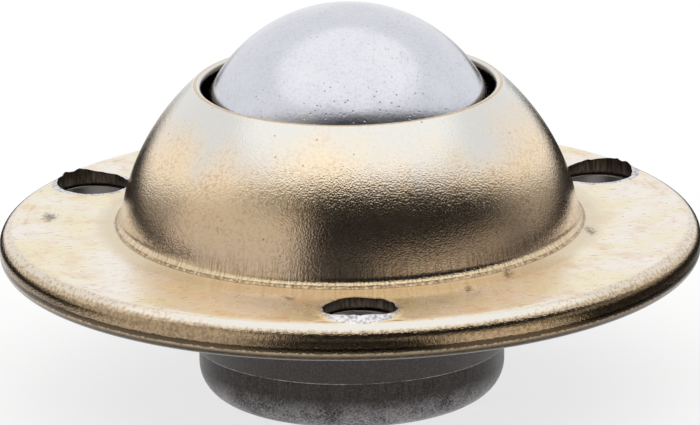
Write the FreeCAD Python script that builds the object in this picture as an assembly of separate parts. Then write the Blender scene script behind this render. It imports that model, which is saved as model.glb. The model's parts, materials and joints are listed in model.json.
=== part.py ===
"""A flanged ball castor: a steel ball that turns on smaller balls in a cup, held by a pressed shell.

Millimetres, +Z towards the load ball. The origin is on the axis, in the plane of the folded
rim's underside, where the flange meets the surface that it is screwed to.
"""
import FreeCAD, Part
import math
import os

# Balls
ball_diameter = 25.4
support_ball_diameter = 4.0
support_rings = 4
running_play = 0.03  # radial play of a support ball, on either side of it
ball_spacing = 0.08  # least gap between neighbouring support balls

# Heights
ball_rise = 5.54  # centre of the load ball above the top of the flange
dome_drop = 8.0  # centre of the dome's sphere below the centre of the load ball
cup_rim_drop = 4.0  # rim of the cup below the centre of the load ball

# Top shell, a pressing of one sheet
shell_sheet = 1.0
lip_gap = 0.51  # from the load ball to the lower edge of the dome's lip
lip_round = 0.45
dome_fillet = 1.3  # hollow rounding where the dome meets the flange
inner_land = 1.12  # flat of the flange between the dome's foot and the holes
outer_land = 0.2  # flat of the flange between the holes and the rim's bend
rim_bend = 0.4  # inside radius of the rim's first bend
lip_bend = 0.1  # inside radius of the fold that turns the rim under the base

# Fixing holes, through the shell and the base
hole_count = 3
hole_diameter = 6.0
hole_roll = 0.1  # rounding that the punch leaves on a hole's upper edge
first_hole_angle = -90.0

# Base pressing, a ring plate drawn down into a tapering collar
plate_sheet = 1.1
rim_clearance = 0.05  # from the plate's edge to the inside of the folded rim
collar_clearance = 0.05  # between the cup and the collar round it
collar_edge = 0.4  # wall of the collar at its lower edge
collar_edge_round = 0.15
collar_bend = 0.6  # rounding from the plate's upper face into the collar
collar_fillet = 0.4  # rounding from the plate's underside into the collar

# Bearing cup, turned from bar
cup_wall = 1.0  # wall of the cup inside the dome
dome_clearance = 0.32  # from the cup to the inside of the dome
cup_neck = 1.05  # wall of the cup where it passes the plate's underside
cup_floor = 3.18  # steel below the lowest point of the race
foot_diameter = 25.1
foot_height = 4.47  # from the flat of the foot to the collar's edge
foot_corner = 2.7

# Levels along the axis, from the plane of the rim's underside
plate_bottom = shell_sheet
plate_top = plate_bottom + plate_sheet
flange_top = plate_top + shell_sheet
ball_z = flange_top + ball_rise
dome_z = ball_z - dome_drop
cup_rim_z = ball_z - cup_rim_drop

# Radii about the centre of the load ball and about the centre of the dome
ball_radius = ball_diameter / 2
support_radius = support_ball_diameter / 2
support_path_radius = ball_radius + running_play + support_radius
race_radius = support_path_radius + support_radius + running_play
cup_dome_radius = race_radius + cup_wall
dome_inner_radius = cup_dome_radius + dome_clearance
dome_outer_radius = dome_inner_radius + shell_sheet

# Foot of the cup and edge of the collar
foot_radius = foot_diameter / 2
foot_z = ball_z - race_radius - cup_floor
collar_edge_z = foot_z + foot_height


def place(r, z):
    """A point of a section, at radius r and height z."""
    return FreeCAD.Vector(r, 0, z)


def unit(vector):
    return FreeCAD.Vector(vector).normalize()


def sphere_width(radius, centre_z, z):
    """Radius at height z of a sphere on the axis."""
    return math.sqrt(radius**2 - (z - centre_z) ** 2)


class Section:
    """A closed section drawn edge by edge and turned about the axis into a solid."""

    def __init__(self, r, z):
        self.start = place(r, z)
        self.end = self.start
        self.edges = []

    def line(self, point):
        self.edges.append(Part.makeLine(self.end, point))
        self.end = point

    def arc(self, centre, point):
        """The shorter arc about a centre, to a point."""
        to_start = self.end - centre
        to_point = point - centre
        middle = centre + unit(to_start + to_point) * to_start.Length
        self.edges.append(Part.Arc(self.end, middle, point).toShape())
        self.end = point

    def corner(self, corner, after, radius):
        """A line up to a corner, rounded towards the point after it."""
        back = unit(self.end - corner)
        ahead = unit(after - corner)
        half_angle = back.getAngle(ahead) / 2
        run = radius / math.tan(half_angle)
        self.line(corner + back * run)
        centre = corner + unit(back + ahead) * (radius / math.sin(half_angle))
        self.arc(centre, corner + ahead * run)

    def turn(self):
        """Close the section with a line and turn it."""
        self.line(self.start)
        face = Part.Face(Part.Wire(self.edges))
        return face.revolve(FreeCAD.Vector(0, 0, 0), FreeCAD.Vector(0, 0, 1), 360)


# Centres of the dome and of the hollow rounding at its foot
ball_centre = place(0, ball_z)
dome_centre = place(0, dome_z)
fillet_reach = dome_outer_radius + dome_fillet
fillet_centre = place(
    sphere_width(fillet_reach, dome_z, flange_top + dome_fillet),
    flange_top + dome_fillet,
)
towards_fillet = unit(fillet_centre - dome_centre)

# Holes and rim of the flange, outwards from the dome's foot
hole_radius = hole_diameter / 2
hole_circle_radius = fillet_centre.x + inner_land + hole_radius
bend_radius = hole_circle_radius + hole_radius + outer_land
rim_inner_radius = bend_radius + rim_bend
rim_radius = rim_inner_radius + shell_sheet

# Taper that the cup and the collar share, from the foot up to the plate
neck_radius = sphere_width(race_radius, ball_z, plate_bottom) + cup_neck
taper = (neck_radius - foot_radius) / (plate_bottom - collar_edge_z)


def taper_radius(z):
    """Radius of the cup's tapered flank at height z."""
    return foot_radius + (z - collar_edge_z) * taper


def punch(blank, top):
    """Cut the fixing holes and round their upper edges, as a punch leaves them."""
    punches = []
    for number in range(hole_count):
        angle = math.radians(first_hole_angle + number * 360 / hole_count)
        foot = FreeCAD.Vector(
            hole_circle_radius * math.cos(angle),
            hole_circle_radius * math.sin(angle),
            0,
        )
        punches.append(Part.makeCylinder(hole_radius, flange_top + shell_sheet, foot))
    punched = blank.cut(punches)
    rims = []
    for edge in punched.Edges:
        middle = edge.CenterOfMass
        on_circle = abs(math.hypot(middle.x, middle.y) - hole_circle_radius) < hole_roll
        if on_circle and abs(middle.z - top) < hole_roll:
            rims.append(edge)
    return punched.makeFillet(hole_roll, rims)


def top_shell():
    """Dome, flange and folded rim, pressed from one sheet."""
    lip_reach = dome_inner_radius**2 - (ball_radius + lip_gap) ** 2 + dome_drop**2
    lip_z = dome_z + lip_reach / (2 * dome_drop)
    opening_radius = sphere_width(dome_inner_radius, dome_z, lip_z)
    round_r = opening_radius + lip_round
    round_z = dome_z + math.sqrt((dome_outer_radius - lip_round) ** 2 - round_r**2)
    lip_centre = place(round_r, round_z)
    towards_lip = unit(lip_centre - dome_centre)
    bend_centre = place(bend_radius, plate_top - rim_bend)
    fold_centre = place(rim_inner_radius - lip_bend, plate_bottom + lip_bend)

    section = Section(opening_radius, round_z)
    section.arc(lip_centre, dome_centre + towards_lip * dome_outer_radius)
    section.arc(dome_centre, dome_centre + towards_fillet * dome_outer_radius)
    section.arc(fillet_centre, place(fillet_centre.x, flange_top))
    section.line(place(bend_radius, flange_top))
    section.arc(bend_centre, place(rim_radius, bend_centre.z))
    section.line(place(rim_radius, fold_centre.z))
    section.arc(fold_centre, place(fold_centre.x, 0))
    section.line(place(bend_radius, 0))
    section.line(place(bend_radius, plate_bottom))
    section.line(place(fold_centre.x, plate_bottom))
    section.arc(fold_centre, place(rim_inner_radius, fold_centre.z))
    section.line(place(rim_inner_radius, bend_centre.z))
    section.arc(bend_centre, place(bend_radius, plate_top))
    section.line(place(fillet_centre.x, plate_top))
    section.arc(fillet_centre, dome_centre + towards_fillet * dome_inner_radius)
    section.arc(dome_centre, place(opening_radius, lip_z))
    return punch(section.turn(), flange_top)


def base_pressing():
    """Ring plate inside the folded rim, drawn down into the collar that carries the cup."""
    plate_radius = rim_inner_radius - rim_clearance
    inner_edge = place(foot_radius + collar_clearance, collar_edge_z)
    outer_edge = place(inner_edge.x + collar_edge, collar_edge_z)
    inner_neck = place(taper_radius(plate_top) + collar_clearance, plate_top)
    outer_neck = place(neck_radius + collar_clearance + plate_sheet, plate_bottom)
    upper_edge = place(plate_radius, plate_top)
    lower_edge = place(plate_radius, plate_bottom)

    section = Section(inner_edge.x, inner_edge.z)
    section.corner(inner_neck, upper_edge, collar_bend)
    section.corner(upper_edge, lower_edge, rim_bend)
    section.corner(lower_edge, outer_neck, lip_bend)
    section.corner(outer_neck, outer_edge, collar_fillet)
    section.corner(outer_edge, inner_edge, collar_edge_round)
    return punch(section.turn(), plate_top)


def bearing_cup():
    """Cup with the round race inside, a shoulder on the plate and a flat foot below."""
    foot_edge = place(foot_radius, foot_z)
    taper_start = place(foot_radius, collar_edge_z)

    section = Section(0, foot_z)
    section.corner(foot_edge, taper_start, foot_corner)
    section.line(taper_start)
    section.line(place(taper_radius(plate_top), plate_top))
    section.line(place(sphere_width(cup_dome_radius, dome_z, plate_top), plate_top))
    section.arc(dome_centre, place(sphere_width(cup_dome_radius, dome_z, cup_rim_z), cup_rim_z))
    section.line(place(sphere_width(race_radius, ball_z, cup_rim_z), cup_rim_z))
    section.arc(ball_centre, place(0, ball_z - race_radius))
    return section.turn()


def support_balls():
    """One ball at the bottom of the race and rings of balls round it, all the same size."""
    room = support_ball_diameter + ball_spacing
    ring_pitch = math.asin(room / support_path_radius)
    centres = [place(0, ball_z - support_path_radius)]
    for ring in range(1, support_rings + 1):
        ring_radius = support_path_radius * math.sin(ring * ring_pitch)
        ring_z = ball_z - support_path_radius * math.cos(ring * ring_pitch)
        share = 2 * math.asin(room / (2 * ring_radius))
        count = math.floor(2 * math.pi / share + 1e-9)
        for number in range(count):
            angle = 2 * math.pi * number / count
            x = ring_radius * math.cos(angle)
            y = ring_radius * math.sin(angle)
            centres.append(FreeCAD.Vector(x, y, ring_z))
    return [Part.makeSphere(support_radius, centre) for centre in centres]


parts = {
    "top_shell": top_shell(),
    "base_pressing": base_pressing(),
    "bearing_cup": bearing_cup(),
    "load_ball": Part.makeSphere(ball_radius, ball_centre),
}
for number, ball in enumerate(support_balls(), start=1):
    parts[f"support_ball_{number:02d}"] = ball

os.makedirs("parts", exist_ok=True)
for name, shape in parts.items():
    shape.exportStep(f"parts/{name}.step")
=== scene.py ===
"""Looks of a flanged ball castor: a polished ball in a yellow passivated shell, on a dark steel foot.

Metres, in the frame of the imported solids: +Z towards the ball, one fixing hole at -Y.
"""
import bmesh
import bpy
import json
import math
from mathutils import Matrix, Vector, noise


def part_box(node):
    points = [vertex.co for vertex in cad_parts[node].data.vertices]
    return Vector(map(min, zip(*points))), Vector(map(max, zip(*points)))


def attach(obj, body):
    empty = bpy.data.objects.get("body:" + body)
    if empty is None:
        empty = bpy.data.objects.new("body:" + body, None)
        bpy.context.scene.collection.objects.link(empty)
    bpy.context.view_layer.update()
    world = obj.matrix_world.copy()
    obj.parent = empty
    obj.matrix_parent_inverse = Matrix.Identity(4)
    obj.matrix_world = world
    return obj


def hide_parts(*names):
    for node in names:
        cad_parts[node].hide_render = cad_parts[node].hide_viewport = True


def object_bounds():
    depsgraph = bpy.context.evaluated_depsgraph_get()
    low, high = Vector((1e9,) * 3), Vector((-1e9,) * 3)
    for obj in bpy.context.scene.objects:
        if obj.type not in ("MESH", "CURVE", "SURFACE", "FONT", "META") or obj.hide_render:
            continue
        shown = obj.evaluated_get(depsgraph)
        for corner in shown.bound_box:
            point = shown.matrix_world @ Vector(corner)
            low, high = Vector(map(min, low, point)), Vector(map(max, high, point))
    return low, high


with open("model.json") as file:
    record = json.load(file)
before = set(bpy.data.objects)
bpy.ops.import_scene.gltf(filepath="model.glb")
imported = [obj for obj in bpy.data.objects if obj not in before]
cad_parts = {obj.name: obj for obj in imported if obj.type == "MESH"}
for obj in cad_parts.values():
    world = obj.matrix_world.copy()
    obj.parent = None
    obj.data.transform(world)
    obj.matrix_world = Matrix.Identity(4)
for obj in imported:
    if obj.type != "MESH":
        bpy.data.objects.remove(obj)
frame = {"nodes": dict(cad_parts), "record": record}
cad_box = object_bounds()
nodes = frame["nodes"]

MM = 0.001
TO_MM = 1 / MM

# Sizes read from the solids and the record, in millimetres
shell_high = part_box("top_shell")[1]
cup_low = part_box("bearing_cup")[0]
base_low, base_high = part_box("base_pressing")
holes = next(mount for mount in frame["record"]["mounts"] if mount["name"] == "fixing_holes")
HOLE_RADIUS = holes["dims"]["hole_r_mm"]
HOLE_CIRCLE = holes["dims"]["pcd_mm"] / 2
HOLE_ANGLES = [math.radians(-90 + 120 * number) for number in range(3)]
SHEET = 1.0
FLANGE_TOP = base_high.z * TO_MM + SHEET
COLLAR_EDGE = base_low.z * TO_MM
FOOT_BOTTOM = cup_low.z * TO_MM
RIM_RADIUS = shell_high.x * TO_MM

# Centres (r, z) of the rounded parts, and radii, in millimetres
OPENING = 12.0
DOME = (0.0, 0.64)
DOME_FOOT = 20.0
LIP = (12.45, 14.499)
LIP_EDGE_TURN = 41.6  # degrees from the axis to the lip's lower edge, about the dome's centre
HOLLOW_RADIUS = 1.3
HOLLOW = (20.03, FLANGE_TOP + HOLLOW_RADIUS)
BEND = (27.35, 1.7)
BEND_OUTSIDE = RIM_RADIUS - BEND[0]
FOLD = (27.65, 1.1)
PLATE_INSIDE = 20.0  # from here outwards the base plate is grey
FOOT_RADIUS = 12.5
# Radius and depth of the points along the two creases in the hollow
CREASES = (
    (19.1, 0.0),
    (19.13, 0.04),
    (19.17, 0.04),
    (19.2, 0.0),
    (19.25, 0.04),
    (19.29, 0.04),
    (19.32, 0.0),
)
CREASE_MIDDLE = CREASES[3][0]

# Mesh of the shell: steps round the axis and across the flat of the flange
STEPS = 288
STEP = 2 * math.pi / STEPS
FLAT_STEPS = 15

# Patch of the flange that is opened and meshed anew round each hole, in millimetres and radians
PATCH_INSIDE = 20.75
PATCH_OUTSIDE = BEND[0] + 0.52
PATCH_HALF_WIDTH = 7 * STEP
PATCH_CUTS = 9
NEAR_FACE = 0.3  # distance that still counts as on a face of the flange
ON_EDGE = 0.01  # distance that still counts as on the edge of a hole

# Edges of the holes, in millimetres
BURR_WIDTH = 0.62
BURR_HEIGHT = 0.26
BURR_ALL_ROUND = 0.35  # share of that height that is there all round
BURR_ONE_SIDE = 1.75  # and what the most raised side has on top of it
BURR_PULL = 1.2  # by how much that side is pulled to the back or front
BURR_SLOPE = 1.5  # power by which it falls away from the hole
BURR_TIP = 0.9  # share of its height that is left at the rounded tip
# Tears of the edge: how many to the millimetre, their share of its height, and their reach sideways
COARSE_TEARS = (1.3, 0.35, 0.14)
FINE_TEARS = (4.0, 0.18, 0.07)
SHEARED = 0.6  # clean part of a hole's wall, from the flange's top
BREAKOUT = 0.28  # by how much the broken part of the wall is wider at its foot

# Sockets of a mix of two colours: the share of the second, the two colours, and the result
SHARE = 0
UNDER = 6
OVER = 7
MIXED = 2

# Studio: the floor and the reach of its cards in metres, the rest in millimetres
FLOOR = cad_box[0].z
CARD_REACH = 1.5
CLEAR_MIDDLE = (-7, 5, 0)  # of the floor card, further to the left and back than the part
CLEAR_RADIUS = 40.0
CLEAR_EDGE = 20.0

STAIN_SQUEEZE = 0.45  # width of a stain, as a share of its length along Y
# Place and half width of the stains on the flange
BLEMISHES = (
    (-24.63, 3.02, 0.6),
    (19.48, -4.45, 0.5),
    (12.26, -15.85, 0.4),
    (8.87, -19.16, 0.4),
    (-5.53, -20.66, 0.35),
)


def linear(colour):
    """A linear colour from an sRGB hex value."""
    channels = [int(colour[i : i + 2], 16) / 255 for i in (1, 3, 5)]
    return [c / 12.92 if c <= 0.04045 else ((c + 0.055) / 1.055) ** 2.4 for c in channels] + [1]


def add(tree, kind, inputs=None, **settings):
    """Add a node with its settings, and with values or links on its sockets."""
    node = tree.nodes.new(kind)
    for name, value in settings.items():
        setattr(node, name, value)
    for socket, value in (inputs or {}).items():
        if isinstance(value, bpy.types.NodeSocket):
            tree.links.new(value, node.inputs[socket])
        else:
            node.inputs[socket].default_value = value
    return node


def empty_material(name):
    """A node material with no node in it yet."""
    material = bpy.data.materials.new(name)
    material.use_nodes = True
    material.node_tree.nodes.clear()
    return material, material.node_tree


def new_material(name):
    """A node material with a surface shader, and the place on the piece in millimetres."""
    material, tree = empty_material(name)
    shader = add(tree, "ShaderNodeBsdfPrincipled")
    add(tree, "ShaderNodeOutputMaterial", {"Surface": shader.outputs[0]})
    place = add(tree, "ShaderNodeTexCoord").outputs["Object"]
    scaled = add(tree, "ShaderNodeMapping", {"Vector": place, "Scale": (TO_MM, TO_MM, TO_MM)})
    return material, tree, shader, scaled.outputs[0]


def dress(material, *names):
    """Give solids a material in place of their own."""
    for name in names:
        nodes[name].data.materials.clear()
        nodes[name].data.materials.append(material)


def line_to(shape, end, r, z):
    """Draw a section on with a straight line from the vertex at its end, and give the new end."""
    drawn = bmesh.ops.extrude_vert_indiv(shape, verts=[end])["verts"][0]
    drawn.co = (r * MM, 0, z * MM)
    return drawn


def arc_to(shape, end, centre, degrees, steps):
    """Draw a section on with an arc about a centre at (r, z), clockwise for a positive angle."""
    swept = bmesh.ops.spin(shape, geom=[end], cent=(centre[0] * MM, 0, centre[1] * MM), axis=(0, 1, 0),
                           angle=math.radians(degrees), steps=steps, use_duplicate=False)
    return next(item for item in swept["geom_last"] if isinstance(item, bmesh.types.BMVert))


def flange_level(r):
    """Height of the flange's upper face at a radius, over the flat and the bend of the rim."""
    return BEND[1] + math.sqrt(BEND_OUTSIDE**2 - max(r - BEND[0], 0) ** 2)


def shell_section(shape):
    """Half section of the pressed sheet: lip, dome, hollow at its foot, flange, folded rim and inside."""
    lip_turn = math.degrees(math.atan2(LIP[0], LIP[1] - DOME[1]))
    foot_turn = math.degrees(math.atan2(HOLLOW[0], HOLLOW[1] - DOME[1]))
    end = shape.verts.new((OPENING * MM, 0, LIP[1] * MM))
    first = end
    end = arc_to(shape, end, LIP, 90 + lip_turn, steps=10)
    end = arc_to(shape, end, DOME, foot_turn - lip_turn, steps=60)
    # The press leaves two fine creases side by side in the hollow
    crease_turn = math.degrees(math.asin((HOLLOW[0] - CREASES[0][0]) / HOLLOW_RADIUS))
    end = arc_to(shape, end, HOLLOW, crease_turn - foot_turn, steps=12)
    for r, depth in CREASES[1:]:
        level = HOLLOW[1] - math.sqrt(HOLLOW_RADIUS**2 - (HOLLOW[0] - r) ** 2)
        end = line_to(shape, end, r, level - depth)
    # From the creases the sheet runs out into the flat in a wide sweep
    run = PATCH_INSIDE - CREASES[-1][0]
    rise = HOLLOW_RADIUS - math.sqrt(HOLLOW_RADIUS**2 - (HOLLOW[0] - CREASES[-1][0]) ** 2)
    sweep_radius = (run**2 + rise**2) / (2 * rise)
    sweep_centre = (PATCH_INSIDE, FLANGE_TOP + sweep_radius)
    end = arc_to(shape, end, sweep_centre, -math.degrees(math.asin(run / sweep_radius)), steps=10)
    for number in range(1, FLAT_STEPS + 1):
        r = PATCH_INSIDE + (BEND[0] - PATCH_INSIDE) * number / FLAT_STEPS
        end = line_to(shape, end, r, FLANGE_TOP)
    end = arc_to(shape, end, BEND, 90, steps=18)
    end = line_to(shape, end, RIM_RADIUS, FOLD[1])
    end = arc_to(shape, end, FOLD, 90, steps=12)
    end = line_to(shape, end, BEND[0], 0)
    end = line_to(shape, end, BEND[0], SHEET)
    end = line_to(shape, end, FOLD[0], SHEET)
    end = arc_to(shape, end, FOLD, -90, steps=3)
    end = line_to(shape, end, BEND[0] + BEND_OUTSIDE - SHEET, BEND[1])
    end = arc_to(shape, end, BEND, -90, steps=5)
    for number in range(1, FLAT_STEPS + 1):
        r = BEND[0] + (PATCH_INSIDE - BEND[0]) * number / FLAT_STEPS
        end = line_to(shape, end, r, FLANGE_TOP - SHEET)
    end = line_to(shape, end, HOLLOW[0], FLANGE_TOP - SHEET)
    end = arc_to(shape, end, HOLLOW, foot_turn, steps=8)
    end = arc_to(shape, end, DOME, LIP_EDGE_TURN - foot_turn, steps=30)
    shape.edges.new((end, first))


def punch_hole(shape, turn):
    """Open a hole through the flange, with the ragged edge that the punch raises round it."""
    outwards = Vector((math.cos(turn), math.sin(turn), 0))
    centre = outwards * HOLE_CIRCLE
    # The punch raised the edge most on the side towards the rim, and a little more to the back or front
    raised_way = (outwards + Vector((0, BURR_PULL * math.sin(turn), 0))).normalized()
    for level, outside, radius in (
        (FLANGE_TOP, PATCH_OUTSIDE, HOLE_RADIUS),
        (FLANGE_TOP - SHEET, BEND[0], HOLE_RADIUS + BREAKOUT),
    ):
        cut = set()
        for face in shape.faces:
            middle = face.calc_center_median() * TO_MM
            off = math.remainder(math.atan2(middle.y, middle.x) - turn, 2 * math.pi)
            near = abs(middle.z - level) < NEAR_FACE
            if near and abs(off) < PATCH_HALF_WIDTH and PATCH_INSIDE < middle.to_2d().length < outside:
                cut.add(face)
        bounds = {edge for face in cut for edge in face.edges}
        bounds = [edge for edge in bounds if sum(face in cut for face in edge.link_faces) == 1]
        bmesh.ops.delete(shape, geom=list(cut), context="FACES")
        place = Matrix.Translation(Vector((centre.x, centre.y, level)) * MM)
        ring = bmesh.ops.create_circle(shape, segments=len(bounds), radius=radius * MM, matrix=place)
        ring_edges = list({edge for vert in ring["verts"] for edge in vert.link_edges})
        made = bmesh.ops.bridge_loops(shape, edges=bounds + ring_edges)
        bmesh.ops.subdivide_edges(shape, edges=made["edges"], cuts=PATCH_CUTS, use_grid_fill=True)
    coarse_count, coarse_rise, coarse_reach = COARSE_TEARS
    fine_count, fine_rise, fine_reach = FINE_TEARS
    upper = set()
    lower = set()
    for vert in shape.verts:
        spot = Vector((vert.co.x, vert.co.y, 0)) * TO_MM
        away = (spot - centre).length - HOLE_RADIUS
        if away > BURR_WIDTH * 4 or BURR_WIDTH < away and spot.length < BEND[0]:
            continue
        if vert.co.z * TO_MM < FLANGE_TOP - SHEET / 2:
            if abs(away - BREAKOUT) < ON_EDGE:
                lower.add(vert)
            continue
        if abs(away) < ON_EDGE:
            upper.add(vert)
        coarse = noise.noise(Vector((spot.x * coarse_count, spot.y * coarse_count, turn)))
        fine = noise.noise(Vector((spot.x * fine_count, spot.y * fine_count, turn)))
        facing = max(0.0, raised_way.dot((spot - centre).normalized()))
        leaning = BURR_ALL_ROUND + BURR_ONE_SIDE * facing**2
        swell = max(0.0, 1 - away / BURR_WIDTH) ** BURR_SLOPE
        tip = BURR_TIP if away < 2 * ON_EDGE else 1.0
        height = BURR_HEIGHT * leaning * (1 + coarse_rise * coarse + fine_rise * fine) * swell * tip
        vert.co.z = (flange_level(spot.length) + height) * MM
        if away < 2 * ON_EDGE:
            torn = (spot - centre).normalized() * (coarse_reach * coarse + fine_reach * fine)
            vert.co += torn * MM
    open_edges = [edge for edge in shape.edges if edge.is_boundary]
    upper_edges = [edge for edge in open_edges if set(edge.verts) <= upper]
    lower_edges = [edge for edge in open_edges if set(edge.verts) <= lower]
    # The punch shears the upper part of the wall clean and breaks out the rest, wider
    sheared = bmesh.ops.extrude_edge_only(shape, edges=upper_edges)["geom"]
    for item in sheared:
        if isinstance(item, bmesh.types.BMVert):
            item.co.z = (FLANGE_TOP - SHEARED) * MM
    sheared_edges = [item for item in sheared if isinstance(item, bmesh.types.BMEdge)]
    broken = bmesh.ops.bridge_loops(shape, edges=sheared_edges + lower_edges)["faces"]
    for item in sheared + broken:
        if isinstance(item, bmesh.types.BMFace):
            item.material_index = 1


def pressed_shell():
    """The shell in one piece: its section turned about the axis, then punched."""
    shape = bmesh.new()
    shell_section(shape)
    bmesh.ops.spin(shape, geom=shape.verts[:] + shape.edges[:], cent=(0, 0, 0), axis=(0, 0, 1),
                   angle=2 * math.pi, steps=STEPS, use_merge=True, use_duplicate=False)
    bmesh.ops.remove_doubles(shape, verts=shape.verts[:], dist=0.001 * MM)
    for turn in HOLE_ANGLES:
        punch_hole(shape, turn)
    bmesh.ops.recalc_face_normals(shape, faces=shape.faces[:])
    mesh = bpy.data.meshes.new("pressed_shell")
    shape.to_mesh(mesh)
    shape.free()
    mesh.shade_smooth()
    mesh.set_sharp_from_angle(angle=math.radians(50))
    shell = bpy.data.objects.new("pressed_shell", mesh)
    bpy.context.scene.collection.objects.link(shell)
    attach(shell, "housing")
    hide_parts("top_shell")
    return shell


def yellow_passivated_zinc():
    """Zinc plate on pressed sheet, dipped in yellow passivate: a thin straw and rose film over a softly
    pebbled metal, greyer on the crown where it is rubbed thin and as a painted highlight, with rolling
    grain on the flat, drawing lines at the foot of the dome, bare bright zinc round the punched holes,
    painted shade round the foot of the dome, in the creases and inside the opening, and a painted dark band
    and shade on the rim."""
    material, tree, shader, mm = new_material("yellow_passivated_zinc_pressed")
    x, y, z = add(tree, "ShaderNodeSeparateXYZ", {0: mm}).outputs
    flat = add(tree, "ShaderNodeCombineXYZ", {0: x, 1: y}).outputs[0]
    radius = add(tree, "ShaderNodeVectorMath", {0: flat}, operation="LENGTH").outputs["Value"]
    angle = add(tree, "ShaderNodeMath", {0: y, 1: x}, operation="ARCTAN2").outputs[0]

    # Clouds of the film 6 mm across, patches of 2.5 mm and mottles of 0.3 mm
    clouds = add(tree, "ShaderNodeTexNoise",
                 {"Vector": mm, "Scale": 1 / 6, "Detail": 2.0, "Roughness": 0.6})
    patches = add(tree, "ShaderNodeTexNoise",
                  {"Vector": mm, "Scale": 1 / 2.5, "Detail": 4.0, "Roughness": 0.65})
    mottles = add(tree, "ShaderNodeTexNoise",
                  {"Vector": mm, "Scale": 1 / 0.3, "Detail": 3.0, "Roughness": 0.6})
    # Specks of dirt about 0.2 mm wide, one for each 1.2 mm of the surface and only in some places
    specks = add(tree, "ShaderNodeTexVoronoi", {"Vector": mm, "Scale": 1 / 1.2})
    speck_pick = add(tree, "ShaderNodeSeparateColor", {0: specks.outputs["Color"]}).outputs[0]
    # Rolling grain of the sheet: sparse flecks 0.9 mm long and 0.4 mm wide along X, a little wider than
    # the real ones so that they show
    grain_place = add(tree, "ShaderNodeMapping",
                      {"Vector": flat, "Scale": (1 / 0.9, 1 / 0.4, 1)}).outputs[0]
    grain = add(tree, "ShaderNodeTexNoise",
                {"Vector": grain_place, "Scale": 1.0, "Detail": 3.0, "Roughness": 0.6})
    # Drawing lines up the dome, 0.2 mm apart round it and 2 mm long
    around = add(tree, "ShaderNodeMath", {0: angle, 1: DOME_FOOT / 0.2}, operation="MULTIPLY").outputs[0]
    up = add(tree, "ShaderNodeMath", {0: z, 1: 1 / 2}, operation="MULTIPLY").outputs[0]
    line_place = add(tree, "ShaderNodeCombineXYZ", {0: around, 1: up}).outputs[0]
    lines = add(tree, "ShaderNodeTexNoise",
                {"Vector": line_place, "Scale": 1.0, "Detail": 2.0, "Roughness": 0.5})

    # Where each finish lies
    on_dome = add(tree, "ShaderNodeMapRange",
                  {"Value": z, "From Min": FLANGE_TOP + 0.12, "From Max": FLANGE_TOP + 0.45}).outputs[0]
    in_bore = add(tree, "ShaderNodeMapRange",
                  {"Value": radius, "From Min": RIM_RADIUS - 8.4, "From Max": RIM_RADIUS - 8.8}).outputs[0]
    on_dome = add(tree, "ShaderNodeMath", {0: on_dome, 1: in_bore}, operation="MULTIPLY").outputs[0]
    low_dome = add(tree, "ShaderNodeMapRange",
                   {"Value": z, "From Min": FLANGE_TOP + 2.6, "From Max": FLANGE_TOP + 0.9}).outputs[0]
    low_dome = add(tree, "ShaderNodeMath", {0: low_dome, 1: in_bore}, operation="MULTIPLY").outputs[0]
    cloud_lift = add(tree, "ShaderNodeMapRange",
                     {"Value": clouds.outputs["Fac"], "To Min": -1.8, "To Max": 1.8, "From Min": 0.25,
                      "From Max": 0.75}).outputs[0]
    uneven_z = add(tree, "ShaderNodeMath", {0: z, 1: cloud_lift}, operation="ADD").outputs[0]
    waist = add(tree, "ShaderNodeMapRange",
                {"Value": uneven_z, "From Min": FLANGE_TOP + 1.0, "From Max": FLANGE_TOP + 6.0}).outputs[0]
    # The crown: its pale grey is partly film rubbed thin and partly a painted highlight
    crown = add(tree, "ShaderNodeMapRange",
                {"Value": uneven_z, "From Min": FLANGE_TOP + 7.0, "From Max": FLANGE_TOP + 11.0}).outputs[0]
    uneven_radius = add(tree, "ShaderNodeMath",
                        {0: mottles.outputs["Fac"], 1: 0.2, 2: radius}, operation="MULTIPLY_ADD").outputs[0]
    shoulder = add(tree, "ShaderNodeMapRange",
                   {"Value": uneven_radius, "From Min": RIM_RADIUS - 1.05,
                    "From Max": RIM_RADIUS - 0.75}).outputs[0]
    rim = add(tree, "ShaderNodeMapRange",
              {"Value": uneven_radius, "From Min": RIM_RADIUS - 0.35,
               "From Max": RIM_RADIUS - 0.2}).outputs[0]
    below = add(tree, "ShaderNodeMapRange", {"Value": z, "From Min": 2.0, "From Max": 1.8}).outputs[0]
    rim = add(tree, "ShaderNodeMath", {0: rim, 1: below}, operation="MAXIMUM").outputs[0]
    # Painted reflection and shade on the rim: a dark band round its side, some 0.4 mm high, for the dark
    # surround it would mirror, and darker towards its lower edge for the shade under it
    uneven_side = add(tree, "ShaderNodeMath",
                      {0: mottles.outputs["Fac"], 1: 0.4, 2: z}, operation="MULTIPLY_ADD").outputs[0]
    painted_dark_side_band = add(tree, "ShaderNodeMath",
                    {0: uneven_side, 1: 1.26, 2: 0.22}, operation="COMPARE").outputs[0]
    painted_rim_shade = add(tree, "ShaderNodeMapRange", {"Value": z, "From Min": 0.95, "From Max": 0.5}).outputs[0]
    painted_dark_side_band = add(tree, "ShaderNodeMath", {0: painted_dark_side_band, 1: 0.85}, operation="MULTIPLY").outputs[0]
    painted_rim_shade = add(tree, "ShaderNodeMath", {0: painted_dark_side_band, 1: painted_rim_shade}, operation="MAXIMUM").outputs[0]
    # Distance from the nearest hole's centre
    from_hole = 2 * RIM_RADIUS
    for turn in HOLE_ANGLES:
        centre = (HOLE_CIRCLE * math.cos(turn), HOLE_CIRCLE * math.sin(turn), 0)
        gap = add(tree, "ShaderNodeVectorMath", {0: flat, 1: centre}, operation="DISTANCE").outputs["Value"]
        from_hole = add(tree, "ShaderNodeMath", {0: from_hole, 1: gap}, operation="MINIMUM").outputs[0]
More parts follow.
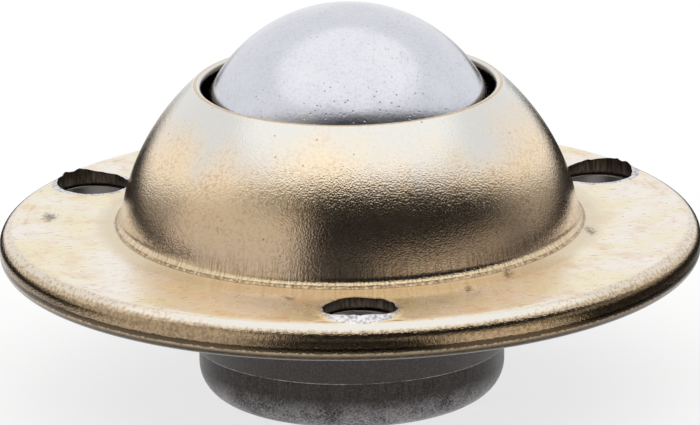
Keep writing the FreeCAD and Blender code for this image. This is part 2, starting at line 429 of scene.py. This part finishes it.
    # Bare zinc round the holes, wider towards the rim
    ragged = add(tree, "ShaderNodeMath",
                 {0: mottles.outputs["Fac"], 1: 0.6, 2: from_hole}, operation="MULTIPLY_ADD").outputs[0]
    bare_width = add(tree, "ShaderNodeMapRange",
                     {"Value": radius, "From Min": HOLE_CIRCLE, "From Max": HOLE_CIRCLE + 3.4,
                      "To Min": HOLE_RADIUS + 0.62, "To Max": HOLE_RADIUS + 0.95}).outputs[0]
    bare_depth = add(tree, "ShaderNodeMath", {0: bare_width, 1: ragged}, operation="SUBTRACT").outputs[0]
    bare = add(tree, "ShaderNodeMapRange",
               {"Value": bare_depth, "From Min": 0.0, "From Max": 0.12}).outputs[0]
    # Stains at their places on the flange, drawn out along Y
    stains = 0.0
    squeezed = add(tree, "ShaderNodeVectorMath",
                   {0: flat, 1: (1, STAIN_SQUEEZE, 0)}, operation="MULTIPLY").outputs[0]
    for stain_x, stain_y, stain_radius in BLEMISHES:
        spot = (stain_x, stain_y * STAIN_SQUEEZE, 0)
        gap = add(tree, "ShaderNodeVectorMath", {0: squeezed, 1: spot}, operation="DISTANCE")
        edge = add(tree, "ShaderNodeMath",
                   {0: mottles.outputs["Fac"], 1: 1.6, 2: gap.outputs["Value"]},
                   operation="MULTIPLY_ADD").outputs[0]
        stain = add(tree, "ShaderNodeMapRange",
                    {"Value": edge, "From Min": stain_radius + 0.9,
                     "From Max": stain_radius + 0.3}).outputs[0]
        stains = add(tree, "ShaderNodeMath", {0: stains, 1: stain}, operation="MAXIMUM").outputs[0]

    # Colour of the film on the flange: straw clouds, rose patches, brown streaks
    straw = add(tree, "ShaderNodeMapRange",
                {"Value": clouds.outputs["Fac"], "From Min": 0.4, "From Max": 0.6}).outputs[0]
    film = add(tree, "ShaderNodeMix",
               {SHARE: straw, UNDER: linear("#EFE7DD"), OVER: linear("#ECE1C0")},
               data_type="RGBA").outputs[MIXED]
    rose = add(tree, "ShaderNodeMapRange",
               {"Value": patches.outputs["Fac"], "From Min": 0.5, "From Max": 0.68,
                "To Max": 0.7}).outputs[0]
    film = add(tree, "ShaderNodeMix",
               {SHARE: rose, UNDER: film, OVER: linear("#E6CCAE")}, data_type="RGBA").outputs[MIXED]
    streaks = add(tree, "ShaderNodeMapRange",
                  {"Value": grain.outputs["Fac"], "From Min": 0.57, "From Max": 0.72,
                   "To Max": 0.75}).outputs[0]
    film = add(tree, "ShaderNodeMix",
               {SHARE: streaks, UNDER: film, OVER: linear("#C99C72")}, data_type="RGBA").outputs[MIXED]
    # A faint ring near the rim, broken by the patches
    faint_rim_ring = add(tree, "ShaderNodeMath",
                  {0: radius, 1: RIM_RADIUS - 2.1, 2: 0.14}, operation="COMPARE").outputs[0]
    faint_rim_ring = add(tree, "ShaderNodeMath", {0: faint_rim_ring, 1: rose}, operation="MULTIPLY").outputs[0]
    film = add(tree, "ShaderNodeMix",
               {SHARE: faint_rim_ring, UNDER: film, OVER: linear("#D9B694")}, data_type="RGBA").outputs[MIXED]
    # Painted shade: the flange is darker and tanner towards the foot of the dome
    foot_painted_shade = add(tree, "ShaderNodeMapRange",
                    {"Value": radius, "From Min": HOLLOW[0] + 1.2, "From Max": HOLLOW[0]}).outputs[0]
    film = add(tree, "ShaderNodeMix",
               {SHARE: foot_painted_shade, UNDER: film, OVER: linear("#DACBAE")}, data_type="RGBA").outputs[MIXED]

    # Colour of the film on the dome: tan at the foot, straw at the waist, and pale grey on the crown,
    # partly film rubbed thin and partly a painted highlight
    dome = add(tree, "ShaderNodeMix",
               {SHARE: waist, UNDER: linear("#EAD6C0"), OVER: linear("#EFDABB")},
               data_type="RGBA").outputs[MIXED]
    dome = add(tree, "ShaderNodeMix",
               {SHARE: crown, UNDER: dome, OVER: linear("#DAD9D5")}, data_type="RGBA").outputs[MIXED]
    grains = add(tree, "ShaderNodeMapRange",
                 {"Value": mottles.outputs["Fac"], "From Min": 0.47, "From Max": 0.62,
                  "To Max": 0.65}).outputs[0]
    gathered = add(tree, "ShaderNodeMapRange",
                   {"Value": patches.outputs["Fac"], "From Min": 0.4, "From Max": 0.6,
                    "To Min": 0.25}).outputs[0]
    grains = add(tree, "ShaderNodeMath", {0: grains, 1: gathered}, operation="MULTIPLY").outputs[0]
    thin = add(tree, "ShaderNodeMapRange", {"Value": crown, "To Min": 1.0, "To Max": 0.15}).outputs[0]
    grains = add(tree, "ShaderNodeMath", {0: grains, 1: thin}, operation="MULTIPLY").outputs[0]
    dome = add(tree, "ShaderNodeMix",
               {SHARE: grains, UNDER: dome, OVER: linear("#CDA983")}, data_type="RGBA").outputs[MIXED]
    # The film stays thick and straw coloured in the hollow
    hollow = add(tree, "ShaderNodeMapRange",
                 {"Value": z, "From Min": FLANGE_TOP + 1.0, "From Max": FLANGE_TOP + 0.55}).outputs[0]
    dome = add(tree, "ShaderNodeMix",
               {SHARE: hollow, UNDER: dome, OVER: linear("#DEC8A4")}, data_type="RGBA").outputs[MIXED]
    line_shade = add(tree, "ShaderNodeMapRange",
                     {"Value": lines.outputs["Fac"], "From Min": 0.46, "From Max": 0.7,
                      "To Max": 0.6}).outputs[0]
    line_shade = add(tree, "ShaderNodeMath", {0: line_shade, 1: low_dome}, operation="MULTIPLY").outputs[0]
    dome = add(tree, "ShaderNodeMix",
               {SHARE: line_shade, UNDER: dome, OVER: linear("#8C7150")}, data_type="RGBA").outputs[MIXED]
    # More of it is left along the lip, and the sheet inside the opening is darkened with painted shade next
    # to the ball
    lip = add(tree, "ShaderNodeMath",
              {0: radius, 1: OPENING + 0.53, 2: 0.12}, operation="COMPARE").outputs[0]
    lip_film = add(tree, "ShaderNodeMapRange",
                   {"Value": mottles.outputs["Fac"], "From Min": 0.3, "From Max": 0.6,
                    "To Min": 0.4}).outputs[0]
    lip = add(tree, "ShaderNodeMath", {0: lip, 1: lip_film}, operation="MULTIPLY").outputs[0]
    dome = add(tree, "ShaderNodeMix",
               {SHARE: lip, UNDER: dome, OVER: linear("#CFAE80")}, data_type="RGBA").outputs[MIXED]
    opening_painted_shade = add(tree, "ShaderNodeMapRange",
                 {"Value": radius, "From Min": OPENING + 0.18, "From Max": OPENING + 0.08}).outputs[0]
    dome = add(tree, "ShaderNodeMix",
               {SHARE: opening_painted_shade, UNDER: dome, OVER: linear("#6E6454")}, data_type="RGBA").outputs[MIXED]

    # All together, with dirt, the rubbed shoulder, the painted shade in the creases, the painted dark band
    # and shade on the rim, and the bare holes
    film = add(tree, "ShaderNodeMix",
               {SHARE: on_dome, UNDER: film, OVER: dome}, data_type="RGBA").outputs[MIXED]
    dirt = add(tree, "ShaderNodeMapRange",
               {"Value": specks.outputs["Distance"], "From Min": 0.1, "From Max": 0.05,
                "To Max": 0.55}).outputs[0]
    picked = add(tree, "ShaderNodeMath", {0: speck_pick, 1: 0.55}, operation="GREATER_THAN").outputs[0]
    dirt = add(tree, "ShaderNodeMath", {0: dirt, 1: picked}, operation="MULTIPLY").outputs[0]
    stains = add(tree, "ShaderNodeMath", {0: stains, 1: 0.9}, operation="MULTIPLY").outputs[0]
    dirt = add(tree, "ShaderNodeMath", {0: dirt, 1: stains}, operation="MAXIMUM").outputs[0]
    film = add(tree, "ShaderNodeMix",
               {SHARE: dirt, UNDER: film, OVER: linear("#5F4A3C")}, data_type="RGBA").outputs[MIXED]
    # The shoulder is rubbed bare, and speckled with film that is left towards the sides
    sideways = add(tree, "ShaderNodeMath", {0: x}, operation="ABSOLUTE").outputs[0]
    sideways = add(tree, "ShaderNodeMapRange",
                   {"Value": sideways, "From Min": 10.0, "From Max": 20.0}).outputs[0]
    left_film = add(tree, "ShaderNodeMapRange",
                    {"Value": mottles.outputs["Fac"], "From Min": 0.5, "From Max": 0.62,
                     "To Max": 0.6}).outputs[0]
    left_film = add(tree, "ShaderNodeMath", {0: left_film, 1: sideways}, operation="MULTIPLY").outputs[0]
    rubbed_and_painted_highlight = add(tree, "ShaderNodeMix",
                 {SHARE: sideways, UNDER: linear("#D9D6D0"), OVER: linear("#E0D5C5")},
                 data_type="RGBA").outputs[MIXED]
    rubbed_and_painted_highlight = add(tree, "ShaderNodeMix",
                 {SHARE: left_film, UNDER: rubbed_and_painted_highlight, OVER: linear("#B3916F")},
                 data_type="RGBA").outputs[MIXED]
    film = add(tree, "ShaderNodeMix",
               {SHARE: shoulder, UNDER: film, OVER: rubbed_and_painted_highlight}, data_type="RGBA").outputs[MIXED]
    # The rim's painted reflection and shade, broken by lighter worn patches
    painted_dark_rim = add(tree, "ShaderNodeMix",
                  {SHARE: painted_rim_shade, UNDER: linear("#D3BD9F"), OVER: linear("#352D23")},
                  data_type="RGBA").outputs[MIXED]
    wear_and_painted_sheen = add(tree, "ShaderNodeMapRange",
               {"Value": mottles.outputs["Fac"], "From Min": 0.4, "From Max": 0.65,
                "To Max": 0.5}).outputs[0]
    painted_dark_rim = add(tree, "ShaderNodeMix",
                  {SHARE: wear_and_painted_sheen, UNDER: painted_dark_rim, OVER: linear("#6A5946")}, data_type="RGBA").outputs[MIXED]
    # Painted shade: the creases in the hollow are darkened, broken by the mottles
    crease_painted_shade = add(tree, "ShaderNodeMath",
                  {0: radius, 1: CREASE_MIDDLE, 2: 0.1}, operation="COMPARE").outputs[0]
    broken = add(tree, "ShaderNodeMapRange",
                 {"Value": mottles.outputs["Fac"], "From Min": 0.38, "From Max": 0.62, "To Min": 0.1,
                  "To Max": 0.9})
    crease_painted_shade = add(tree, "ShaderNodeMath",
                  {0: crease_painted_shade, 1: broken.outputs[0]}, operation="MULTIPLY").outputs[0]
    film = add(tree, "ShaderNodeMix",
               {SHARE: crease_painted_shade, UNDER: film, OVER: linear("#87694F")}, data_type="RGBA").outputs[MIXED]
    film = add(tree, "ShaderNodeMix",
               {SHARE: rim, UNDER: film, OVER: painted_dark_rim}, data_type="RGBA").outputs[MIXED]
    zinc = add(tree, "ShaderNodeMapRange",
               {"Value": mottles.outputs["Fac"], "From Min": 0.35, "From Max": 0.6}).outputs[0]
    zinc = add(tree, "ShaderNodeMix",
               {SHARE: zinc, UNDER: linear("#9E9A9C"), OVER: linear("#E3E1E4")},
               data_type="RGBA").outputs[MIXED]
    film = add(tree, "ShaderNodeMix",
               {SHARE: bare, UNDER: film, OVER: zinc}, data_type="RGBA").outputs[MIXED]

    # Pebbled skin on the dome, 0.14 mm between pebbles, and the drawing lines, as relief
    pebbles = add(tree, "ShaderNodeTexNoise",
                  {"Vector": mm, "Scale": 1 / 0.14, "Detail": 1.0, "Roughness": 0.5})
    rough_skin = add(tree, "ShaderNodeMath", {0: on_dome, 1: rim}, operation="MAXIMUM").outputs[0]
    skin_height = add(tree, "ShaderNodeMapRange",
                      {"Value": rough_skin, "To Min": 0.25, "To Max": 1.0}).outputs[0]
    skin_height = add(tree, "ShaderNodeMath",
                      {0: pebbles.outputs["Fac"], 1: skin_height}, operation="MULTIPLY").outputs[0]
    skin = add(tree, "ShaderNodeBump", {"Strength": 1.0, "Distance": 0.019 * MM, "Height": skin_height})
    line_depth = add(tree, "ShaderNodeMath",
                     {0: lines.outputs["Fac"], 1: low_dome}, operation="MULTIPLY").outputs[0]
    relief = add(tree, "ShaderNodeBump",
                 {"Strength": 1.0, "Distance": 0.012 * MM, "Height": line_depth, "Normal": skin.outputs[0]})

    # The flange is duller than the dome and the shoulder
    flange_gloss = add(tree, "ShaderNodeMapRange",
                       {"Value": patches.outputs["Fac"], "From Min": 0.3, "From Max": 0.7, "To Min": 0.2,
                        "To Max": 0.32}).outputs[0]
    smooth = add(tree, "ShaderNodeMath", {0: on_dome, 1: shoulder}, operation="MAXIMUM").outputs[0]
    gloss = add(tree, "ShaderNodeMapRange",
                {"Value": smooth, "To Min": flange_gloss, "To Max": 0.15}).outputs[0]
    shader.inputs["Metallic"].default_value = 1.0
    tree.links.new(film, shader.inputs["Base Color"])
    tree.links.new(gloss, shader.inputs["Roughness"])
    tree.links.new(relief.outputs[0], shader.inputs["Normal"])
    return material


def sheared_steel():
    """Walls of the punched holes: steel sheared by the punch and browned in the passivate, and painted dark
    as shade inside the holes, with fine upright tears painted a little lighter."""
    material, tree, shader, mm = new_material("sheared_steel_browned")
    # Tears 0.2 mm wide and 1.5 mm long
    tear_place = add(tree, "ShaderNodeMapping",
                     {"Vector": mm, "Scale": (1 / 0.2, 1 / 0.2, 1 / 1.5)}).outputs[0]
    tears = add(tree, "ShaderNodeTexNoise",
                {"Vector": tear_place, "Scale": 1.0, "Detail": 3.0, "Roughness": 0.6})
    shade = add(tree, "ShaderNodeMapRange",
                {"Value": tears.outputs["Fac"], "From Min": 0.35, "From Max": 0.65}).outputs[0]
    # Painted shade: the walls are coloured dark, and lighter along the tears
    tone = add(tree, "ShaderNodeMix",
               {SHARE: shade, UNDER: linear("#2E2822"), OVER: linear("#5C5046")},
               data_type="RGBA").outputs[MIXED]
    relief = add(tree, "ShaderNodeBump",
                 {"Strength": 1.0, "Distance": 0.04 * MM, "Height": tears.outputs["Fac"]})
    shader.inputs["Metallic"].default_value = 1.0
    shader.inputs["Roughness"].default_value = 0.45
    tree.links.new(tone, shader.inputs["Base Color"])
    tree.links.new(relief.outputs[0], shader.inputs["Normal"])
    return material


def polished_bearing_steel():
    """Through-hardened bearing steel, ground and polished, then run in: a bluish mirror hazed by handling,
    with clusters of small dark pits."""
    material, tree, shader, mm = new_material("bearing_steel_polished")
    # Haze in patches of 2.5 mm
    haze = add(tree, "ShaderNodeTexNoise",
               {"Vector": mm, "Scale": 1 / 2.5, "Detail": 4.0, "Roughness": 0.6})
    gloss = add(tree, "ShaderNodeMapRange",
                {"Value": haze.outputs["Fac"], "From Min": 0.3, "From Max": 0.7, "To Min": 0.15,
                 "To Max": 0.24}).outputs[0]
    tone = add(tree, "ShaderNodeMix",
               {SHARE: haze.outputs["Fac"], UNDER: linear("#DADBE1"), OVER: linear("#CCCED8")},
               data_type="RGBA").outputs[MIXED]
    # Dull grains 0.25 mm across
    grains = add(tree, "ShaderNodeTexNoise",
                 {"Vector": mm, "Scale": 1 / 0.25, "Detail": 2.0, "Roughness": 0.6})
    dull = add(tree, "ShaderNodeMapRange",
               {"Value": grains.outputs["Fac"], "From Min": 0.46, "From Max": 0.68,
                "To Max": 0.45}).outputs[0]
    dull = add(tree, "ShaderNodeMath", {0: dull, 1: haze.outputs["Fac"]}, operation="MULTIPLY").outputs[0]
    tone = add(tree, "ShaderNodeMix",
               {SHARE: dull, UNDER: tone, OVER: linear("#A3A4B2")}, data_type="RGBA").outputs[MIXED]
    # Pits 0.1 mm wide, up to one for each 0.45 mm, in clusters some 4 mm across
    pits = add(tree, "ShaderNodeTexVoronoi", {"Vector": mm, "Scale": 1 / 0.45})
    pick = add(tree, "ShaderNodeSeparateColor", {0: pits.outputs["Color"]}).outputs[0]
    clusters = add(tree, "ShaderNodeTexNoise", {"Vector": mm, "Scale": 1 / 4, "Detail": 1.0})
    wanted = add(tree, "ShaderNodeMath",
                 {0: clusters.outputs["Fac"], 1: 3.0, 2: -1.25}, operation="MULTIPLY_ADD").outputs[0]
    picked = add(tree, "ShaderNodeMath", {0: wanted, 1: pick}, operation="GREATER_THAN").outputs[0]
    depth = add(tree, "ShaderNodeMapRange",
                {"Value": pits.outputs["Distance"], "From Min": 0.2, "From Max": 0.06}).outputs[0]
    depth = add(tree, "ShaderNodeMath", {0: depth, 1: picked}, operation="MULTIPLY").outputs[0]
    stain = add(tree, "ShaderNodeMath", {0: depth, 1: 0.6}, operation="MULTIPLY").outputs[0]
    tone = add(tree, "ShaderNodeMix",
               {SHARE: stain, UNDER: tone, OVER: linear("#83828F")}, data_type="RGBA").outputs[MIXED]
    skin = add(tree, "ShaderNodeBump",
               {"Strength": 1.0, "Distance": 0.005 * MM, "Height": grains.outputs["Fac"]})
    relief = add(tree, "ShaderNodeBump",
                 {"Strength": 1.0, "Distance": 0.015 * MM, "Height": depth, "Normal": skin.outputs[0]},
                 invert=True)
    shader.inputs["Metallic"].default_value = 1.0
    tree.links.new(tone, shader.inputs["Base Color"])
    tree.links.new(gloss, shader.inputs["Roughness"])
    tree.links.new(relief.outputs[0], shader.inputs["Normal"])
    return material


def dark_drawn_steel():
    """Steel left dark by heat treatment and oil, drawn to size: fine upright lines, a dull sheen, painted
    highlight and sheen in patches on the foot's lower corner and the collar's edge, and a greyer plate."""
    material, tree, shader, mm = new_material("heat_darkened_steel_drawn")
    x, y, z = add(tree, "ShaderNodeSeparateXYZ", {0: mm}).outputs
    # Drawing lines 0.18 mm apart round the foot and 3 mm long, and clouds 3 mm across
    angle = add(tree, "ShaderNodeMath", {0: y, 1: x}, operation="ARCTAN2").outputs[0]
    around = add(tree, "ShaderNodeMath", {0: angle, 1: FOOT_RADIUS / 0.18}, operation="MULTIPLY").outputs[0]
    up = add(tree, "ShaderNodeMath", {0: z, 1: 1 / 3}, operation="MULTIPLY").outputs[0]
    line_place = add(tree, "ShaderNodeCombineXYZ", {0: around, 1: up}).outputs[0]
    lines = add(tree, "ShaderNodeTexNoise",
                {"Vector": line_place, "Scale": 1.0, "Detail": 3.0, "Roughness": 0.6})
    cloud = add(tree, "ShaderNodeTexNoise", {"Vector": mm, "Scale": 1 / 3, "Detail": 3.0, "Roughness": 0.6})
    shade = add(tree, "ShaderNodeMapRange",
                {"Value": lines.outputs["Fac"], "From Min": 0.35, "From Max": 0.65}).outputs[0]
    on_foot = add(tree, "ShaderNodeMapRange",
                  {"Value": z, "From Min": COLLAR_EDGE + 0.1, "From Max": COLLAR_EDGE,
                   "To Min": 0.25}).outputs[0]
    shade = add(tree, "ShaderNodeMath", {0: shade, 1: on_foot}, operation="MULTIPLY").outputs[0]
    tone = add(tree, "ShaderNodeMix",
               {SHARE: shade, UNDER: linear("#464240"), OVER: linear("#383432")},
               data_type="RGBA").outputs[MIXED]
    # Fine scale left by the heat, 0.18 mm across
    scale = add(tree, "ShaderNodeTexNoise",
                {"Vector": mm, "Scale": 1 / 0.18, "Detail": 2.0, "Roughness": 0.6})
    scaly = add(tree, "ShaderNodeMapRange",
                {"Value": scale.outputs["Fac"], "From Min": 0.45, "From Max": 0.7,
                 "To Max": 0.6}).outputs[0]
    tone = add(tree, "ShaderNodeMix",
               {SHARE: scaly, UNDER: tone, OVER: linear("#5E5A59")}, data_type="RGBA").outputs[MIXED]
    # Painted highlight and sheen: the foot's lower corner and the collar's edge are painted bright in
    # places
    wear_and_painted_sheen = add(tree, "ShaderNodeMapRange",
               {"Value": z, "From Min": FOOT_BOTTOM + 3.0, "From Max": FOOT_BOTTOM + 1.0}).outputs[0]
    rubbed_and_painted_highlight = add(tree, "ShaderNodeMath", {0: z, 1: COLLAR_EDGE, 2: 0.12}, operation="COMPARE").outputs[0]
    wear_and_painted_sheen = add(tree, "ShaderNodeMath", {0: wear_and_painted_sheen, 1: rubbed_and_painted_highlight}, operation="MAXIMUM").outputs[0]
    patchy = add(tree, "ShaderNodeMath",
                 {0: scale.outputs["Fac"], 1: cloud.outputs["Fac"]}, operation="ADD").outputs[0]
    patchy = add(tree, "ShaderNodeMapRange",
                 {"Value": patchy, "From Min": 0.8, "From Max": 1.18}).outputs[0]
    wear_and_painted_sheen = add(tree, "ShaderNodeMath", {0: wear_and_painted_sheen, 1: patchy}, operation="MULTIPLY").outputs[0]
    tone = add(tree, "ShaderNodeMix",
               {SHARE: wear_and_painted_sheen, UNDER: tone, OVER: linear("#A3A0A2")}, data_type="RGBA").outputs[MIXED]
    # The plate that shows in the holes stayed out of the oil and is greyer
    flat = add(tree, "ShaderNodeCombineXYZ", {0: x, 1: y}).outputs[0]
    radius = add(tree, "ShaderNodeVectorMath", {0: flat}, operation="LENGTH").outputs["Value"]
    plate = add(tree, "ShaderNodeMapRange",
                {"Value": radius, "From Min": PLATE_INSIDE - 0.5,
                 "From Max": PLATE_INSIDE + 0.5}).outputs[0]
    tone = add(tree, "ShaderNodeMix",
               {SHARE: plate, UNDER: tone, OVER: linear("#8A8684")}, data_type="RGBA").outputs[MIXED]
    relief = add(tree, "ShaderNodeBump",
                 {"Strength": 1.0, "Distance": 0.01 * MM, "Height": lines.outputs["Fac"]})
    gloss = add(tree, "ShaderNodeMapRange",
                {"Value": cloud.outputs["Fac"], "To Min": 0.28, "To Max": 0.5}).outputs[0]
    shader.inputs["Metallic"].default_value = 1.0
    tree.links.new(tone, shader.inputs["Base Color"])
    tree.links.new(gloss, shader.inputs["Roughness"])
    tree.links.new(relief.outputs[0], shader.inputs["Normal"])
    return material


def stage_piece(name, shape, material, only_in_metal):
    """Put a floor, screen or card in the scene, which may be there only for the metal to mirror."""
    mesh = bpy.data.meshes.new(name)
    shape.to_mesh(mesh)
    shape.free()
    mesh.materials.append(material)
    piece = bpy.data.objects.new(name, mesh)
    bpy.context.scene.collection.objects.link(piece)
    if only_in_metal:
        piece.visible_camera = False
        piece.visible_diffuse = False
        piece.visible_shadow = False


def paper_floor():
    """A pale floor that takes the part's shadow, and looks nearly white to the camera and in the metal."""
    material, tree = empty_material("white_paper_floor")
    sheet = add(tree, "ShaderNodeBsdfDiffuse", {"Color": linear("#F8F8F8")}).outputs[0]
    white = add(tree, "ShaderNodeEmission", {"Color": linear("#FFFFFF"), "Strength": 1.0}).outputs[0]
    ray = add(tree, "ShaderNodeLightPath").outputs
    seen = add(tree, "ShaderNodeMath",
               {0: ray["Is Camera Ray"], 1: ray["Is Glossy Ray"]}, operation="MAXIMUM").outputs[0]
    seen = add(tree, "ShaderNodeMath",
               {0: seen, 1: ray["Is Transmission Ray"]}, operation="MAXIMUM").outputs[0]
    whiter = add(tree, "ShaderNodeMath", {0: seen, 1: 0.72}, operation="MULTIPLY").outputs[0]
    surface = add(tree, "ShaderNodeMixShader", {0: whiter, 1: sheet, 2: white}).outputs[0]
    add(tree, "ShaderNodeOutputMaterial", {"Surface": surface})
    shape = bmesh.new()
    on_floor = Matrix.Translation((0, 0, FLOOR))
    bmesh.ops.create_grid(shape, x_segments=1, y_segments=1, size=20.0, matrix=on_floor)
    stage_piece("floor", shape, material, only_in_metal=False)


def soft_light():
    """A white tent all round, and overhead a warm softbox a quarter as bright as the tent."""
    lamp = bpy.data.lights.new("overhead_softbox", "AREA")
    lamp.shape = "ELLIPSE"
    lamp.size = 1.9
    lamp.size_y = 1.6
    lamp.color = linear("#FFFCEE")[:3]
    brightness = 0.24
    area = math.pi / 4 * lamp.size * lamp.size_y
    lamp.energy = brightness * math.pi * area
    softbox = bpy.data.objects.new("overhead_softbox", lamp)
    softbox.location = (0, -0.05, 1.0)
    bpy.context.scene.collection.objects.link(softbox)

    world = bpy.data.worlds.new("white_tent")
    bpy.context.scene.world = world
    world.use_nodes = True
    tent = world.node_tree.nodes["Background"]
    tent.inputs["Color"].default_value = linear("#FFFFFF")
    tent.inputs["Strength"].default_value = 1.0


def towards(tree, level_way, turn, none_at, full_at):
    """Mask over level directions by how many degrees they are off the one at a turn from the front."""
    middle = (math.sin(math.radians(turn)), -math.cos(math.radians(turn)), 0)
    facing = add(tree, "ShaderNodeVectorMath", {0: level_way, 1: middle}, operation="DOT_PRODUCT")
    return add(tree, "ShaderNodeMapRange",
               {"Value": facing.outputs["Value"], "From Min": math.cos(math.radians(none_at)),
                "From Max": math.cos(math.radians(full_at))}).outputs[0]


def mirrored(tree, shade, cleared):
    """Finish a card that the metal mirrors in one shade or another, clear where a mask says so."""
    given_back = add(tree, "ShaderNodeEmission", {"Color": shade, "Strength": 1.0}).outputs[0]
    clear = add(tree, "ShaderNodeBsdfTransparent").outputs[0]
    surface = add(tree, "ShaderNodeMixShader", {0: cleared, 1: given_back, 2: clear}).outputs[0]
    add(tree, "ShaderNodeOutputMaterial", {"Surface": surface})


def front_screen():
    """Dark cloth round the front that leans open to the back and gets paler at its ends, with a pale card
    hung on its left side and a pale strip low on its right."""
    leaning = Vector((0, 0.454, 0.891))
    top_edge = 0.385
    material, tree = empty_material("dark_cloth_with_pale_card")
    place = add(tree, "ShaderNodeTexCoord").outputs["Object"]
    way = add(tree, "ShaderNodeVectorMath", {0: place}, operation="NORMALIZE").outputs[0]
    height = add(tree, "ShaderNodeSeparateXYZ", {0: way}).outputs[2]
    level_way = add(tree, "ShaderNodeVectorMath", {0: way, 1: (1, 1, 0)}, operation="MULTIPLY").outputs[0]
    level_way = add(tree, "ShaderNodeVectorMath", {0: level_way}, operation="NORMALIZE").outputs[0]
    upper = add(tree, "ShaderNodeMapRange",
                {"Value": height, "From Min": 0.12, "From Max": 0.34}).outputs[0]
    shade = add(tree, "ShaderNodeMix",
                {SHARE: upper, UNDER: linear("#4E4D4B"), OVER: linear("#29292A")},
                data_type="RGBA").outputs[MIXED]
    aside = towards(tree, level_way, turn=30, none_at=48, full_at=76)
    shade = add(tree, "ShaderNodeMix",
                {SHARE: aside, UNDER: shade, OVER: linear("#9A958E")}, data_type="RGBA").outputs[MIXED]
    strip = towards(tree, level_way, turn=48, none_at=44, full_at=27)
    strip_top = add(tree, "ShaderNodeMapRange",
                    {"Value": height, "From Min": 0.26, "From Max": 0.12}).outputs[0]
    strip = add(tree, "ShaderNodeMath", {0: strip, 1: strip_top}, operation="MULTIPLY").outputs[0]
    shade = add(tree, "ShaderNodeMix",
                {SHARE: strip, UNDER: shade, OVER: linear("#A0978A")}, data_type="RGBA").outputs[MIXED]
    card = towards(tree, level_way, turn=-66, none_at=43, full_at=32)
    card_top = add(tree, "ShaderNodeMapRange",
                   {"Value": height, "From Min": 0.54, "From Max": 0.48}).outputs[0]
    card = add(tree, "ShaderNodeMath", {0: card, 1: card_top}, operation="MULTIPLY").outputs[0]
    shade = add(tree, "ShaderNodeMix",
                {SHARE: card, UNDER: shade, OVER: linear("#D0C9BF")}, data_type="RGBA").outputs[MIXED]
    lean = add(tree, "ShaderNodeVectorMath", {0: way, 1: leaning}, operation="DOT_PRODUCT").outputs["Value"]
    fade = add(tree, "ShaderNodeMapRange",
               {"Value": lean, "From Min": 0.34, "From Max": top_edge}).outputs[0]
    mirrored(tree, shade, fade)
    shape = bmesh.new()
    bmesh.ops.create_uvsphere(shape, u_segments=48, v_segments=24, radius=CARD_REACH)
    for point, normal in (((0, 0, FLOOR), (0, 0, -1)), (leaning * CARD_REACH * top_edge, leaning)):
        bmesh.ops.bisect_plane(shape, geom=shape.verts[:] + shape.edges[:] + shape.faces[:],
                               plane_co=point, plane_no=normal, clear_outer=True)
    stage_piece("front_screen", shape, material, only_in_metal=True)


def floor_card():
    """A dark card on the floor with a clear middle where the part stands, paler at the front left and front
    right and open straight behind."""
    material, tree = empty_material("dark_floor_card")
    place = add(tree, "ShaderNodeTexCoord").outputs["Object"]
    level = add(tree, "ShaderNodeVectorMath",
                {0: place, 1: (TO_MM, TO_MM, 0)}, operation="MULTIPLY").outputs[0]
    distance = add(tree, "ShaderNodeVectorMath",
                   {0: level, 1: CLEAR_MIDDLE}, operation="DISTANCE").outputs["Value"]
    fade = add(tree, "ShaderNodeMapRange",
               {"Value": distance, "From Min": CLEAR_RADIUS + CLEAR_EDGE,
                "From Max": CLEAR_RADIUS}).outputs[0]
    level_way = add(tree, "ShaderNodeVectorMath", {0: level}, operation="NORMALIZE").outputs[0]
    left = towards(tree, level_way, turn=-54, none_at=34, full_at=16)
    shade = add(tree, "ShaderNodeMix",
                {SHARE: left, UNDER: linear("#2E2C29"), OVER: linear("#C9C2B9")},
                data_type="RGBA").outputs[MIXED]
    right = towards(tree, level_way, turn=40, none_at=23, full_at=10)
    shade = add(tree, "ShaderNodeMix",
                {SHARE: right, UNDER: shade, OVER: linear("#DED4C6")}, data_type="RGBA").outputs[MIXED]
    behind = towards(tree, level_way, turn=180, none_at=20, full_at=8)
    fade = add(tree, "ShaderNodeMath", {0: fade, 1: behind}, operation="MAXIMUM").outputs[0]
    mirrored(tree, shade, fade)
    shape = bmesh.new()
    over_floor = Matrix.Translation((0, 0, FLOOR + 0.2 * MM))
    bmesh.ops.create_circle(shape, cap_ends=True, segments=96, radius=CARD_REACH, matrix=over_floor)
    stage_piece("floor_card", shape, material, only_in_metal=True)


def camera():
    """The photograph's view: a long lens, a little above the flange and a touch to the left."""
    picture_width, picture_height = 700, 425
    focal_pixels = 9640
    elevation = math.radians(16.9)
    azimuth = math.radians(-1.6)
    roll = math.radians(-0.8)
    distance = 790 * MM
    flange_seen_at = (350.0, 221.2)
    back = Vector((
        math.sin(azimuth) * math.cos(elevation),
        -math.cos(azimuth) * math.cos(elevation),
        math.sin(elevation),
    ))
    turn = (-back).to_track_quat("-Z", "Y").to_matrix() @ Matrix.Rotation(roll, 3, "Z")
    right, up = turn.col[0], turn.col[1]
    pixel = distance / focal_pixels
    target = Vector((0, 0, FLANGE_TOP * MM))
    target -= right * (flange_seen_at[0] - picture_width / 2) * pixel
    target += up * (flange_seen_at[1] - picture_height / 2) * pixel
    data = bpy.data.cameras.new("photo_view")
    data.sensor_fit = "HORIZONTAL"
    data.sensor_width = 36
    data.lens = focal_pixels * data.sensor_width / picture_width
    data.clip_start = 0.01
    data.clip_end = 20
    view = bpy.data.objects.new("photo_view", data)
    view.matrix_world = Matrix.Translation(target + back * distance) @ turn.to_4x4()
    bpy.context.scene.collection.objects.link(view)
    bpy.context.scene.camera = view


shell_finish = yellow_passivated_zinc()
ball_finish = polished_bearing_steel()
dark_finish = dark_drawn_steel()
shell = pressed_shell()
shell.data.materials.append(shell_finish)
shell.data.materials.append(sheared_steel())
dress(dark_finish, "base_pressing", "bearing_cup")
dress(ball_finish, "load_ball", *[name for name in nodes if name.startswith("support_ball")])

paper_floor()
soft_light()
front_screen()
floor_card()
camera()
bpy.context.scene.view_settings.view_transform = "Standard"
